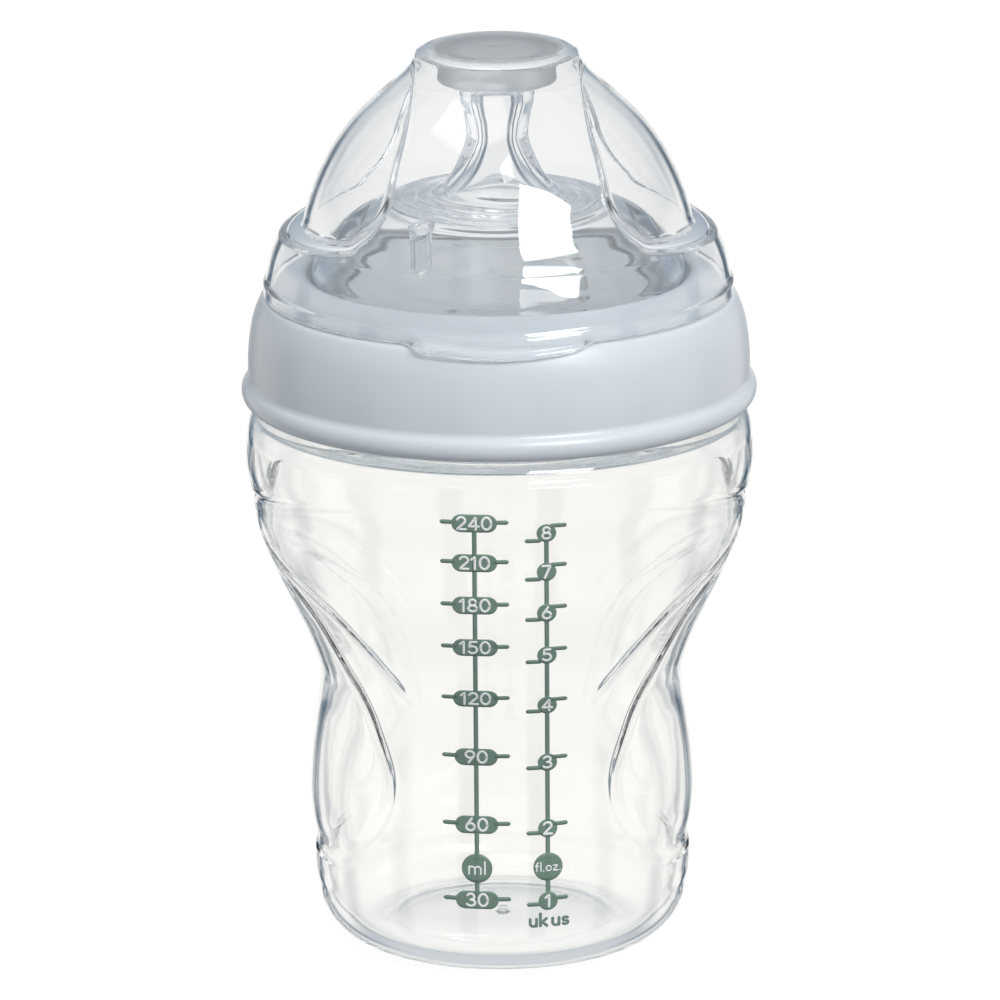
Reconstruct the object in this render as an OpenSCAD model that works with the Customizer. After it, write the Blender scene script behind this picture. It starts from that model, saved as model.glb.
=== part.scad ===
// Wide-neck feeding bottle: a waisted clear bottle, a screw collar that clamps
// a silicone teat on the bottle's rim, and a clear hygiene cap that presses on
// over the collar. +Z is up, the bottle stands on z = 0, and the side with the
// volume scale faces -Y. All sizes are in millimetres.

/* [Bottle] */
// Wall thickness of the moulded bottle
bottle_wall = 1.8; // [1.4:0.1:2]
// Radius of the widest part of the bottle, the ring under the collar
shoulder_r = 41.1; // [40.7:0.1:41.3]
// Radius of the belly above the foot
belly_r = 30.6; // [30.2:0.1:31]
// Half width of the waist between the two side grips
grip_r = 29.5; // [28.8:0.1:30]
// Radius of the rounding between the foot and the belly
foot_round = 9; // [8.5:0.1:9.5]
// Outer radius of the neck below its thread
neck_r = 34.2; // [34.1:0.05:34.3]

/* [Thread] */
// Height of a ridge above its wall
ridge_h = 1.7; // [1.5:0.1:1.8]
// Thickness of a ridge at its root
ridge_root = 1.6; // [1.4:0.1:1.8]
// Thickness of a ridge at its crest
ridge_crest = 0.8; // [0.6:0.1:1]
// Length of a ridge in turns
ridge_turns = 0.8; // [0.5:0.1:0.9]

/* [Collar] */
// Largest radius of the collar, over the bead on its lower edge
bead_r = 41.6; // [41.4:0.1:42]
// Radius of the bead's own round section
bead_round = 2.2; // [2:0.1:2.4]
// Radius of the hole that the teat stands in
opening_r = 30.6; // [30.5:0.1:31]
// Height of the lip around that hole
lip_z = 111.4; // [111.2:0.1:111.6]

/* [Teat] */
// Wall thickness of the teat's dome
teat_wall = 1.8; // [1.5:0.1:2]
// Radius of the nipple's round head
nipple_r = 6.1; // [5.8:0.1:6.4]
// Height of the nipple's tip
tip_z = 143.2; // [142.8:0.1:143.4]
// Radius of the feeding hole
hole_r = 0.3; // [0.2:0.05:0.5]
// Outer radius of the clamped flange
flange_r = 35; // [34.6:0.1:35]

/* [Cap] */
// Wall thickness of the cap
cap_wall = 1.2; // [1:0.1:1.3]
// Height of the cap's lower rim
cap_rim_z = 107.8; // [107.7:0.1:108]
// Half width of the proud band that runs over the cap from front to back
band_half_w = 15.7; // [15:0.1:16]
// Outer radius of the ring that closes over the nipple
plug_r = 9.5; // [9.3:0.1:9.8]

/* [Hidden] */
$fn = 96;
eps = 0.01;

// Heights of the bottle's rim, the collar's lower edge and the cap's top
rim_z = 107;
collar_z = 89.7;
top_z = 148;

// Gaps between pieces that move on each other
thread_gap = 0.4;
seat_gap = 0.05;
slide_gap = 0.3;

// --- curves ---------------------------------------------------------------

// A point of the smooth curve through b and c, with neighbours a and d
function blend_point(a, b, c, d, t) =
    0.5 * (2 * b + (c - a) * t + (2 * a - 5 * b + 4 * c - d) * t * t
           + (3 * b - a - 3 * c + d) * t * t * t);

// The smooth curve through a list of [radius, height] stations
function curve(p, steps = 5) =
    let (n = len(p))
    concat([for (i = [0 : n - 2], k = [0 : steps - 1])
                blend_point(p[max(i - 1, 0)], p[i], p[i + 1], p[min(i + 2, n - 1)], k / steps)],
           [p[n - 1]]);

// The same curve moved to its left by d
function inset(p, d) =
    let (n = len(p))
    [for (i = [0 : n - 1])
        let (t = p[min(i + 1, n - 1)] - p[max(i - 1, 0)])
        p[i] + d * [-t[1], t[0]] / norm(t)];

// Points of a round corner about a centre, from one angle to another
function arc(centre, r, from, to, steps = 8) =
    [for (i = [0 : steps])
        let (a = from + (to - from) * i / steps)
        centre + r * [cos(a), sin(a)]];

// Only the points of a curve that lie between two heights
function between(p, low, high) = [for (q = p) if (q[1] >= low && q[1] <= high) q];

// --- thread ---------------------------------------------------------------

// Rise in one turn, number of ridges side by side, and lugs in each ridge
lead = 8;
starts = 2;
lugs = 6;
lug_gap_angle = 6;
lug_angle = 360 * ridge_turns / lugs - lug_gap_angle;
climb = atan(lead / (2 * PI * neck_r));
neck_ridge_z = 96.5;
collar_ridge_z = neck_ridge_z - lead / starts / 2;
collar_ridge_t0 = (collar_z + 3.3 - collar_ridge_z) / lead;
thread_bore_r = neck_r + ridge_h + thread_gap;
ridge_bite = 0.4;

// One ridge that climbs a full turn in each lead, from turn t0 on, with its
// middle at height z_ref where t is 0. It is broken by narrow upright gaps
// into short lugs, each tilted by the climb; root and crest are radii
module ridge(root, crest, z_ref, t0) {
    for (j = [0 : lugs - 1]) {
        t = t0 + ridge_turns * (j + 0.5) / lugs;
        rotate([0, 0, 360 * t])
            translate([0, 0, z_ref + lead * t])
                rotate([climb, 0, 0])
                    rotate([0, 0, -lug_angle / 2])
                        rotate_extrude(angle = lug_angle)
                            polygon([[root, ridge_root / 2], [crest, ridge_crest / 2],
                                     [crest, -ridge_crest / 2], [root, -ridge_root / 2]]);
    }
}

module ridges(root, crest, z_ref, t0) {
    for (k = [0 : starts - 1])
        rotate([0, 0, 360 * k / starts])
            ridge(root, crest, z_ref, t0);
}

// --- bottle ---------------------------------------------------------------

groove_z = 74.5;
groove_r = 40;
groove_deep = 0.8;
foot_r = belly_r - 0.5 - foot_round;
floor_z = 3.2;
foot_hollow = 1.2;
grip_swing = 8.5;

// Front outline from the foot to the groove, and from the groove to the rim
body_line = concat(
    arc([foot_r, foot_round], foot_round, -90, -12),
    curve([[belly_r - 0.4, 10], [belly_r - 0.2, 15], [belly_r - 0.1, 24], [belly_r + 0.2, 34],
           [33.2, 45], [36.5, 55], [38.8, 65], [groove_r - 0.2, 72], [groove_r, groove_z]]));
shoulder_line = concat(
    curve([[groove_r, groove_z + eps], [40.6, 77], [shoulder_r, 80.5], [shoulder_r - 0.3, 84.5],
           [39.4, 87.8], [37, 89.1], [35.2, 89.8], [neck_r, 91.4]]),
    [[neck_r, rim_z]]);

// Outline of the bottle's two hollowed sides, which cross the front outline
grip_line = curve([[grip_r + 3.5, 18], [grip_r + 1.4, 27], [grip_r + 0.3, 36], [grip_r, 42],
                   [grip_r + 1.3, 49], [grip_r + 4.4, 56.5], [grip_r + 8.2, 64.5], [grip_r + 11, 71],
                   [grip_r + 13, 77]]);

// The bottle's form, made smaller all round by d and standing on floor
module flask(d, floor) {
    line = between(inset(concat(body_line, shoulder_line), d), floor, rim_z + 1);
    intersection() {
        rotate_extrude()
            polygon(concat([[0, floor], [line[0][0], floor]], line,
                           [[line[len(line) - 1][0], rim_z + (d > 0 ? 1 : 0)],
                            [0, rim_z + (d > 0 ? 1 : 0)]]));
        for (side = [0, 180])
            rotate([0, 0, side])
                grip_face(d);
    }
}

// All that lies inside one hollowed side, as a wide solid of revolution whose
// axis is beyond the bottle's own, so the face is flatter than the bottle
module grip_face(d) {
    line = inset(grip_line, d);
    last = len(line) - 1;
    translate([-grip_swing, 0, 0])
        rotate_extrude()
            polygon(concat([[0, -1], [70, -1], [70, line[0][1]]],
                           [for (p = line) p + [grip_swing, 0]],
                           [[70, line[last][1]], [70, 120], [0, 120]]));
}

module bottle() {
    color([0.93, 0.95, 0.95, 0.45]) {
        difference() {
            flask(0, 0);
            flask(bottle_wall, floor_z);
            rotate_extrude()
                polygon([[groove_r - groove_deep, groove_z], [groove_r + 2, groove_z - 1.1],
                         [groove_r + 2, groove_z + 0.6]]);
            translate([0, 0, -1])
                cylinder(r = foot_r - 2, h = 1 + foot_hollow);
        }
        ridges(neck_r - ridge_bite, neck_r + ridge_h, neck_ridge_z, 0);
    }
}

// --- collar ---------------------------------------------------------------

seat_z = cap_rim_z - 0.3;
spigot_r = 36.3;
spigot_z = 109.2;
flange_top_z = 109.2;
chamber_r = flange_r + 0.25;
chamber_z = 106.4;

collar_line = concat(
    arc([bead_r - bead_round, collar_z + bead_round], bead_round, -90, 45, 9),
    curve([[40.5, 95], [40.4, 98], [40.1, 101.5], [39.4, 104.2], [38.7, 106], [37.9, seat_z]]),
    [[spigot_r, seat_z], [spigot_r, spigot_z]],
    curve([[35.6, 109.9], [34, 110.7], [32.6, lip_z]]),
    arc([opening_r + 1, lip_z - 1], 1, 90, 180, 5));

module collar() {
    color([0.74, 0.79, 0.83]) {
        rotate_extrude()
            polygon(concat([[thread_bore_r, collar_z]], collar_line,
                           [[opening_r, flange_top_z], [chamber_r, flange_top_z],
                            [chamber_r, chamber_z], [thread_bore_r, chamber_z - 0.8]]));
        ridges(thread_bore_r + ridge_bite, neck_r + thread_gap, collar_ridge_z, collar_ridge_t0);
    }
}

// --- teat -----------------------------------------------------------------

vent_x = -12;
vent_y = -14.5;
vent_r = 1.6;
vent_wall = 0.6;
vent_z = 112.8;
hollow_r = opening_r - slide_gap - teat_wall - 0.1;

dome_line = curve([[opening_r - slide_gap, flange_top_z - seat_gap], [30.1, 111], [29.2, 113.4],
                   [26.8, 116.8], [23.4, 119.9], [18.5, 122.4], [13, 123.6], [9, 125.2], [6.4, 128.6],
                   [4.95, 133], [5.4, 136.6], [nipple_r, 139.8], [5.4, 141.8], [3.2, 142.9], [0, tip_z]]);
hollow_line = curve([[hollow_r, rim_z + seat_gap], [hollow_r - 0.1, 110.6], [29.2 - teat_wall, 112.8],
                     [27 - teat_wall, 115.6], [24 - teat_wall, 118.2], [17.6, 122.4 - teat_wall],
                     [12.4, 123.6 - teat_wall], [7.6, 124.8 - teat_wall], [4.3, 126.6],
                     [2.5, 131], [2.4, 134], [3, 137.4], [3.2, 139.2], [2.2, 140.8], [0, 141.4]]);

module teat() {
    color([0.9, 0.92, 0.92, 0.6])
        difference() {
            union() {
                difference() {
                    rotate_extrude()
                        polygon(concat([[0, rim_z + seat_gap], [flange_r, rim_z + seat_gap],
                                        [flange_r, flange_top_z - seat_gap]], dome_line));
                    rotate_extrude()
                        polygon(concat([[0, rim_z - 1], [hollow_r, rim_z - 1]], hollow_line));
                }
                // Air vent: a small closed tube that hangs in the dome
                translate([vent_x, vent_y, vent_z + vent_r]) {
                    cylinder(r = vent_r, h = 7);
                    sphere(r = vent_r);
                }
            }
            translate([vent_x, vent_y, vent_z + vent_r])
                cylinder(r = vent_r - vent_wall, h = 12);
            cylinder(r = hole_r, h = 200);
        }
}

// --- cap ------------------------------------------------------------------

ledge_z = 118.2;
cap_crown_r = 10.3;
skirt_hollow_z = cap_rim_z + 1.8;
tab_drop = 1.6;
tab_half_w = 14.8;
tab_round = (tab_half_w * tab_half_w + tab_drop * tab_drop) / (2 * tab_drop);
plug_z = 142;

// Outline of the domed sides, and of the proud band and skirt around them
core_line = curve([[cap_crown_r, top_z - 0.1], [12.6, 146.8], [14.2, 144.8], [16.2, 142.6],
                   [20.4, 139], [26.2, 132], [30.2, 124], [32, 119.5], [34.7, 116.5], [36.4, 112.6],
                   [37, cap_rim_z]]);
apron_line = curve([[cap_crown_r, top_z - 0.1], [12.7, 147], [14.6, 145], [17.7, 142.9],
                    [21.8, 139.4], [27.4, 132.6], [31.2, 125.4], [33.6, 120.6], [36, 116], [37.3, 112],
                    [37.8, cap_rim_z]]);

// Edge of the recess beside the band: it widens downwards and sweeps out to
// a ledge above the skirt
band_edge = curve([[band_half_w + 21, ledge_z], [band_half_w + 17.5, ledge_z + 0.8],
                   [band_half_w + 13.8, ledge_z + 2.4], [band_half_w + 8.3, ledge_z + 6],
                   [band_half_w + 4.5, ledge_z + 10.8], [band_half_w + 2.1, ledge_z + 14.8],
                   [band_half_w, ledge_z + 21.8], [band_half_w - 1.5, ledge_z + 27.2]]);

module side_window() {
    rotate([90, 0, 0])
        linear_extrude(100, center = true)
            polygon(concat(band_edge, [[band_half_w - 1.5, top_z + 1], [60, top_z + 1], [60, ledge_z]]));
}

// Thumb tab on the front of the rim, its lower edge a shallow arc
module thumb_tab() {
    intersection() {
        rotate([0, 0, -112])
            rotate_extrude(angle = 44)
                polygon([[36.8, cap_rim_z + 1.6], [38.1, skirt_hollow_z], [39.4, cap_rim_z + 0.2],
                         [39.8, cap_rim_z - 2], [39.1, cap_rim_z - 2], [38.4, cap_rim_z - 0.2],
                         [37, cap_rim_z]]);
        translate([0, 0, cap_rim_z - tab_drop + tab_round])
            rotate([90, 0, 0])
                cylinder(r = tab_round, h = 60, $fn = 180);
    }
}

module cap() {
    color([0.93, 0.95, 0.94, 0.4]) {
        difference() {
            union() {
                rotate_extrude()
                    polygon(concat([[0, cap_rim_z], [0, top_z]], core_line));
                difference() {
                    rotate_extrude()
                        polygon(concat([[0, cap_rim_z], [0, top_z]], apron_line));
                    for (side = [0, 180])
                        rotate([0, 0, side])
                            side_window();
                }
            }
            rotate_extrude()
                polygon(concat([[0, cap_rim_z - 1], [0, top_z - cap_wall]],
                               between(inset(core_line, -cap_wall), skirt_hollow_z + 0.2, top_z - cap_wall),
                               [[spigot_r + slide_gap, skirt_hollow_z],
                                [spigot_r + slide_gap, cap_rim_z - 1]]));
        }
        thumb_tab();
        translate([0, 0, plug_z])
            difference() {
                cylinder(r = plug_r, h = top_z - cap_wall - plug_z + 0.3);
                translate([0, 0, -1])
                    cylinder(r = plug_r - cap_wall, h = 20);
            }
    }
}

bottle();
collar();
teat();
cap();
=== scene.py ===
import math

import bpy
import numpy as np
from mathutils import Matrix, Vector


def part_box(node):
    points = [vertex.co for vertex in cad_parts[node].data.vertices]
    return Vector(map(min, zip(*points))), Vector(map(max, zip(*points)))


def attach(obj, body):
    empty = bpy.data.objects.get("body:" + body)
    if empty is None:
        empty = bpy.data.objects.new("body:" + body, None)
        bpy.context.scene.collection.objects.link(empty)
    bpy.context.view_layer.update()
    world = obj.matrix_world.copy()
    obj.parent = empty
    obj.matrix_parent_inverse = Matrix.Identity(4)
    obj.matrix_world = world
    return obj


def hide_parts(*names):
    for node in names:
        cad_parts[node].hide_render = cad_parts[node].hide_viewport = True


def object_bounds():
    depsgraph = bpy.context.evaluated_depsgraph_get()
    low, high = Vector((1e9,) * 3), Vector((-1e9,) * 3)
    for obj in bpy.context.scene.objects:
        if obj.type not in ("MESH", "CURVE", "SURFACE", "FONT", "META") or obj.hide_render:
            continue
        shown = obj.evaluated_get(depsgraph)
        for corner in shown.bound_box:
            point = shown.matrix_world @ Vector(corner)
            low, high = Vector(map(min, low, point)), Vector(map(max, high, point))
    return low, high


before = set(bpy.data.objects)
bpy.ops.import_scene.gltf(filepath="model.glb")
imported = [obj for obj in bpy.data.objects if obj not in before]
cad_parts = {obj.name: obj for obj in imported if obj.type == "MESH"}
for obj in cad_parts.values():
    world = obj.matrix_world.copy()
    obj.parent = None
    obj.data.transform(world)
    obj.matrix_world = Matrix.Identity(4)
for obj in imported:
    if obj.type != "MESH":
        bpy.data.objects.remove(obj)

cad_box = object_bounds()
mm = 0.001

# ---------------------------------------------------------------- clear bottle
# One piece of clear polypropylene, blown in a mould: a round foot, a waist
# hollowed at both sides into leaf-shaped grips, a ring groove, a full
# shoulder and a straight neck. The outline is a curve through a few stations.
rim_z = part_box("bottle")[1].z
wall = 1.8 * mm
belly_r = 30.4 * mm
foot_round = 9 * mm
neck_r = 34.2 * mm
groove_z = 74.5 * mm
groove_climb = 8.2 * mm
step_z = 15.4 * mm

front_stations = np.array([[9, 30.0], [13, 30.3], [20, 30.3], [28, 30.3], [36, 31.2], [45, 33.3],
                           [55, 36.5], [65, 38.9], [71, 39.6], [74.5, 40.0], [77, 40.5],
                           [80.5, 41.1], [84.5, 40.8], [86.7, 40.4], [88.3, 39.7], [89.1, 38.9],
                           [89.5, 37.8]]) * mm
side_stations = np.array([[9, 30.0], [13, 30.3], [16, 30.2], [20, 30.75], [25, 30.9], [30, 30.6],
                          [36, 29.9], [42, 29.2], [48, 29.3], [54, 31.5], [60, 34.9], [66, 38.2],
                          [70, 39.4], [74.5, 40.0], [77, 40.5], [80.5, 41.1], [84.5, 40.8],
                          [86.7, 40.4], [88.3, 39.7], [89.1, 38.9], [89.5, 37.8]]) * mm


def through(stations, at):
    """Cubic arcs from station to station; the slope at each comes from its two neighbours."""
    x, y = stations.T
    slope = np.gradient(y, x)
    i = np.clip(np.searchsorted(x, at) - 1, 0, len(x) - 2)
    h = x[i + 1] - x[i]
    t = np.clip((at - x[i]) / h, 0, 1)
    return ((2 * t**3 - 3 * t**2 + 1) * y[i] + (t**3 - 2 * t**2 + t) * h * slope[i]
            + (3 * t**2 - 2 * t**3) * y[i + 1] + (t**3 - t**2) * h * slope[i + 1])


def ease(t):
    """0 below 0, 1 above 1, and the cubic 3t^2 - 2t^3 between."""
    t = np.clip(t, 0, 1)
    return t * t * (3 - 2 * t)


# The two raised lines of each grip, as angles from the side for a height
upper_ridge = np.array([[44, 66], [47, 65], [50.5, 63], [54, 58.5], [58, 52], [62, 43.5],
                        [66, 29], [69, 17], [74, 8]]) * [mm, 1]
lower_ridge = np.array([[13, 4], [15.5, 14], [18, 34], [22, 46.5], [27, 53.5], [32, 55.6],
                        [40, 53.2], [46, 50], [51, 44.5], [56, 38.5], [60, 33], [64, 23],
                        [67, 12], [74, 3]]) * [mm, 1]
# The faint outer edge of the upper leaf, which meets the upper ridge at its tip
leaf_edge = np.array([[45, 66], [50, 66.5], [56, 65.5], [62, 63.5], [66, 59.5], [69, 52],
                      [71, 43], [72.5, 30], [74, 15]]) * [mm, 1]


def groove_height(turn):
    """Height of the ring groove at an angle from the side: it climbs as the sine to the power 1.2."""
    return groove_z + groove_climb * np.sin(np.radians(turn)) ** 1.2


def ridge_offset(line, turn, z, r):
    """Distance over the surface from a line: the angle past it, times radius, less its slant."""
    here = through(line, z)
    slant = r * np.radians(through(line, z + 0.5 * mm) - through(line, z - 0.5 * mm)) / mm
    return np.radians(turn - here) * r / np.sqrt(1 + slant**2)


def bottle_radius(turn, z, sharp=1.0):
    """Radius at an angle from the side (0 at a grip, 90 at the front) and a height.

    The side outline gives way to the front outline over the leaf lines. Each
    line is a crest that falls slowly to the front and steeply to the grip;
    sharp is 1 outside and less on the softer inside of the wall."""
    front, side = through(front_stations, z), through(side_stations, z)
    low_edge = through(lower_ridge, z)
    spread = 62 - 12 * ease((30 * mm - z) / (12 * mm))
    share = 1 - ease(turn / spread) ** 1.15
    panel = 1 - ease((turn - low_edge + 9) / 14)
    r = front + (side - front) * (panel + (share - panel) * ease((z - 20 * mm) / (22 * mm)))
    # upper leaf: a crest with a hollow behind it, dying out at its tip and root
    d = ridge_offset(upper_ridge, turn, z, r)
    life = ease((z - 45.5 * mm) / (5 * mm)) * ease((73 * mm - z) / (7 * mm)) * sharp
    r = r + life * np.where(d > 0, 0.42 * np.exp(-d / (2.2 * mm)),
                            0.42 - 0.86 * ease(-d / (2.9 * mm))
                            * np.exp(-np.clip(-d - 2.9 * mm, 0, None) / (6 * mm))) * mm
    # lower leaf: the front edge of the thumb panel
    d = ridge_offset(lower_ridge, turn, z, r)
    life = ease((z - 15.5 * mm) / (9 * mm)) * ease((68 * mm - z) / (9 * mm)) * sharp
    r = r + life * np.where(d > 0, 0.38 * np.exp(-d / (2.0 * mm)),
                            0.38 - 0.7 * ease(-d / (2.7 * mm))
                            * np.exp(-np.clip(-d - 2.7 * mm, 0, None) / (6 * mm))) * mm
    # faint step at the outer edge of the upper leaf
    d = ridge_offset(leaf_edge, turn, z, r)
    life = ease((z - 46 * mm) / (4 * mm)) * ease((73.5 * mm - z) / (3 * mm)) * sharp
    r = r - life * 0.32 * mm * ease((0.6 * mm - d) / (1.2 * mm)) * ease((turn - 12) / 25)
    # the grips end in a small step above the foot, and the groove rings the top
    r = r + (0.35 * mm * sharp * ease((step_z - z) / (0.5 * mm)) * ease((z - 9 * mm) / (2 * mm))
             * ease((34 - turn) / 24))
    d = z - groove_height(turn)
    notch = np.clip(1 - np.where(d > 0, d / (0.8 * mm), -d / (1.3 * mm)), 0, 1)
    return r - sharp * (0.07 + 0.8 * np.exp(-(turn / 17) ** 2)) * mm * notch


def quarter_turns(z, per=(26, 18, 36)):
    """Angles from side to front for a height: even steps to, between and past the two raised lines."""
    low, up = through(lower_ridge, z), through(upper_ridge, z)
    up = np.maximum(up, low + 4)
    parts = [np.linspace(0, 1, n, endpoint=False) for n in per]
    return np.concatenate([low * parts[0], low + (up - low) * parts[1],
                           up + (90 - up) * parts[2], [90]])


def all_round(quarter):
    """A row for one quarter, mirrored into the four quarters of a closed ring."""
    return np.concatenate([quarter[:-1], quarter[::-1][:-1], quarter[:-1], quarter[::-1][:-1]])


def full_angles(quarter):
    """The angle about +Z of each column of a ring made of four mirrored quarters."""
    q = np.radians(quarter)
    return np.concatenate([q[:-1], np.pi - q[::-1][:-1], np.pi + q[:-1], 2 * np.pi - q[::-1][:-1]])


def ring_rows(rows):
    """Points of a stack of rings, each given as angles, radius and height, at radius times cos and sin."""
    return np.array([np.stack([r * np.cos(a), r * np.sin(a), z + 0 * a], -1) for a, r, z in rows])


def add_piece(name, verts, faces):
    """A new object from an array of points and a list of faces."""
    mesh = bpy.data.meshes.new(name)
    mesh.from_pydata(verts.tolist(), [], faces)
    mesh.update()
    piece = bpy.data.objects.new(name, mesh)
    bpy.context.collection.objects.link(piece)
    return piece


def grid_mesh(name, points, start=None, end=None, closed=False):
    """A mesh from rings of points: neighbours in a ring and in the next ring make a square.

    start and end are poles that close the first and the last ring; closed joins the two instead."""
    rings, count = points.shape[:2]
    verts = points.reshape(-1, 3)
    i = np.arange(rings if closed else rings - 1)[:, None]
    j = np.arange(count)[None, :]
    a, b = i * count + j, i * count + (j + 1) % count
    c, d = ((i + 1) % rings) * count + (j + 1) % count, ((i + 1) % rings) * count + j
    faces = np.stack([a, b, c, d], -1).reshape(-1, 4).tolist()
    for pole, ring, flip in ((start, 0, True), (end, rings - 1, False)):
        if pole is None:
            continue
        hub = len(verts)
        verts = np.vstack([verts, [pole]])
        k = ring * count + np.arange(count)
        nxt = ring * count + (np.arange(count) + 1) % count
        faces += np.stack([nxt, k, 0 * k + hub] if flip else [k, nxt, 0 * k + hub], -1).tolist()
    return add_piece(name, verts, faces)


def finish_piece(piece, material, body, crease=35):
    """Smooth shading with hard edges above an angle, then material, body and slot."""
    piece.data.shade_smooth()
    piece.data.set_sharp_from_angle(angle=math.radians(crease))
    piece.data.materials.clear()
    piece.data.materials.append(material)
    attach(piece, body)
    return piece


def moulded_skin():
    """Node group for a moulded surface: slow waviness and fine polish marks from two noises.

    Height is for a Bump node; Roughness wanders about the given value."""
    if "moulded_skin" in bpy.data.node_groups:
        return bpy.data.node_groups["moulded_skin"]
    group = bpy.data.node_groups.new("moulded_skin", "ShaderNodeTree")
    number = "NodeSocketFloat"
    for label, value in (("Wave Scale", 60.0), ("Fine Scale", 900.0), ("Fine Share", 0.15),
                         ("Roughness", 0.1), ("Spread", 0.05)):
        group.interface.new_socket(label, in_out="INPUT", socket_type=number).default_value = value
    for label in ("Height", "Roughness"):
        group.interface.new_socket(label, in_out="OUTPUT", socket_type=number)
    node, link = group.nodes.new, group.links.new
    take, give = node("NodeGroupInput"), node("NodeGroupOutput")
    place = node("ShaderNodeTexCoord")
    slow, fine = node("ShaderNodeTexNoise"), node("ShaderNodeTexNoise")
    slow.inputs["Detail"].default_value = 1.0
    fine.inputs["Detail"].default_value = 2.0
    for noise, scale in ((slow, "Wave Scale"), (fine, "Fine Scale")):
        link(place.outputs["Object"], noise.inputs["Vector"])
        link(take.outputs[scale], noise.inputs["Scale"])
    height = node("ShaderNodeMath")
    height.operation = "MULTIPLY_ADD"
    link(fine.outputs["Fac"], height.inputs[0])
    link(take.outputs["Fine Share"], height.inputs[1])
    link(slow.outputs["Fac"], height.inputs[2])
    link(height.outputs[0], give.inputs["Height"])
    centred = node("ShaderNodeMath")
    centred.operation = "SUBTRACT"
    centred.inputs[1].default_value = 0.5
    link(fine.outputs["Fac"], centred.inputs[0])
    rough = node("ShaderNodeMath")
    rough.operation = "MULTIPLY_ADD"
    link(centred.outputs[0], rough.inputs[0])
    link(take.outputs["Spread"], rough.inputs[1])
    link(take.outputs["Roughness"], rough.inputs[2])
    link(rough.outputs[0], give.inputs["Roughness"])
    return group


def start_material(name):
    """A new material with its shader and the makers of its nodes and links."""
    material = bpy.data.materials.new(name)
    material.use_nodes = True
    tree = material.node_tree
    return material, tree.nodes["Principled BSDF"], tree.nodes.new, tree.links.new


def two_tones(node, link, share, first, second, socket):
    """One colour where the share is 0, another where it is 1 and a blend between, fed to a socket."""
    tone = node("ShaderNodeMix")
    tone.data_type = "RGBA"
    tone.inputs[6].default_value = (*first, 1)
    tone.inputs[7].default_value = (*second, 1)
    link(share, tone.inputs[0])
    link(tone.outputs[2], socket)


def relief(node, link, height, strength, distance, shader):
    """Fine relief: the shader's normal leans with the slope of a height."""
    bump = node("ShaderNodeBump")
    bump.inputs["Strength"].default_value = strength
    bump.inputs["Distance"].default_value = distance
    link(height, bump.inputs["Height"])
    link(bump.outputs["Normal"], shader.inputs["Normal"])


def clear_plastic(name, body_tint, painted_edge_shade, ior, roughness, wave, edge_power, frost_roughness=0.4):
    """Clear moulded plastic: refracting, with painted shade: its colour darkens towards an edge colour
    where it is seen edge on, standing in for the dark edges that bent light draws.

    Where the mesh's own attribute frost is 1 the surface is matt from the tool."""
    material, shader, node, link = start_material(name)
    shader.inputs["IOR"].default_value = ior
    shader.inputs["Transmission Weight"].default_value = 1.0
    skin = node("ShaderNodeGroup")
    skin.node_tree = moulded_skin()
    skin.inputs["Roughness"].default_value = roughness
    skin.inputs["Spread"].default_value = roughness * 0.8
    skin.inputs["Fine Share"].default_value = 0.05
    frost, dulled = node("ShaderNodeAttribute"), node("ShaderNodeMath")
    frost.attribute_name = "frost"
    dulled.operation = "MULTIPLY_ADD"
    dulled.inputs[1].default_value = frost_roughness
    link(frost.outputs["Fac"], dulled.inputs[0])
    link(skin.outputs["Roughness"], dulled.inputs[2])
    link(dulled.outputs[0], shader.inputs["Roughness"])
    relief(node, link, skin.outputs["Height"], 1.0, wave, shader)
    # Painted shade: the base colour darkens to the edge colour where the surface is seen edge on
    facing = node("ShaderNodeLayerWeight")
    facing.inputs["Blend"].default_value = 0.5
    power = node("ShaderNodeMath")
    power.operation = "POWER"
    power.inputs[1].default_value = edge_power
    link(facing.outputs["Facing"], power.inputs[0])
    two_tones(node, link, power.outputs[0], body_tint, painted_edge_shade, shader.inputs["Base Color"])
    return material


def turned_rows(outline, angles):
    """Rings of a turned shape: every (radius, height) of the outline goes once round."""
    return [(angles, r, z) for r, z in outline]


def arc(cx, cz, r, start, stop, count):
    """Points (radius, height) of a round corner between two angles in degrees."""
    a = np.radians(np.linspace(start, stop, count))
    return np.stack([cx + r * np.cos(a), cz + r * np.sin(a)], -1)


def path(points, count):
    """A smooth curve through (radius, height) stations, with as many points from each to the next."""
    stations = np.array(points, float)
    at = np.linspace(0, len(stations) - 1, count)
    k = np.arange(len(stations), dtype=float)
    return np.stack([through(np.stack([k, values], -1), at) for values in stations.T], -1)


foot_r = belly_r - 0.4 * mm - foot_round
sole_z, floor_z = 1.1 * mm, 3.18 * mm
base_quarter = quarter_turns(9 * mm)
base_angles = full_angles(base_quarter)

sole = np.concatenate([
    path(np.array([[0.7, 1.15], [1.5, 1.45], [8, 1.4], [13, 1.1], [17, 0.62], [19, 0.25],
                   [20.2, 0.04]]) * mm, 26),
    [[20.7 * mm, 0]], arc(foot_r, foot_round, foot_round, -90, -8, 16)])
rows = turned_rows(sole, base_angles)

outer_heights = np.concatenate([
    np.linspace(9, 14.6, 8), np.linspace(15, 16.6, 6), np.linspace(17.4, 72.4, 76),
    np.linspace(72.9, 76.1, 15), np.linspace(76.8, 89.5, 20)]) * mm


def wavy_row(z, radius):
    """A ring of the wall whose height follows the ring groove where it is near it."""
    quarter = quarter_turns(z)
    near = ease((z - 58 * mm) / (groove_z - 58 * mm)) * ease((87 * mm - z) / (87 * mm - groove_z))
    height = z + near * (groove_height(quarter) - groove_z)
    return full_angles(quarter), all_round(radius(quarter, height)), all_round(height)


rows += [wavy_row(z, bottle_radius) for z in outer_heights]

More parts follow.
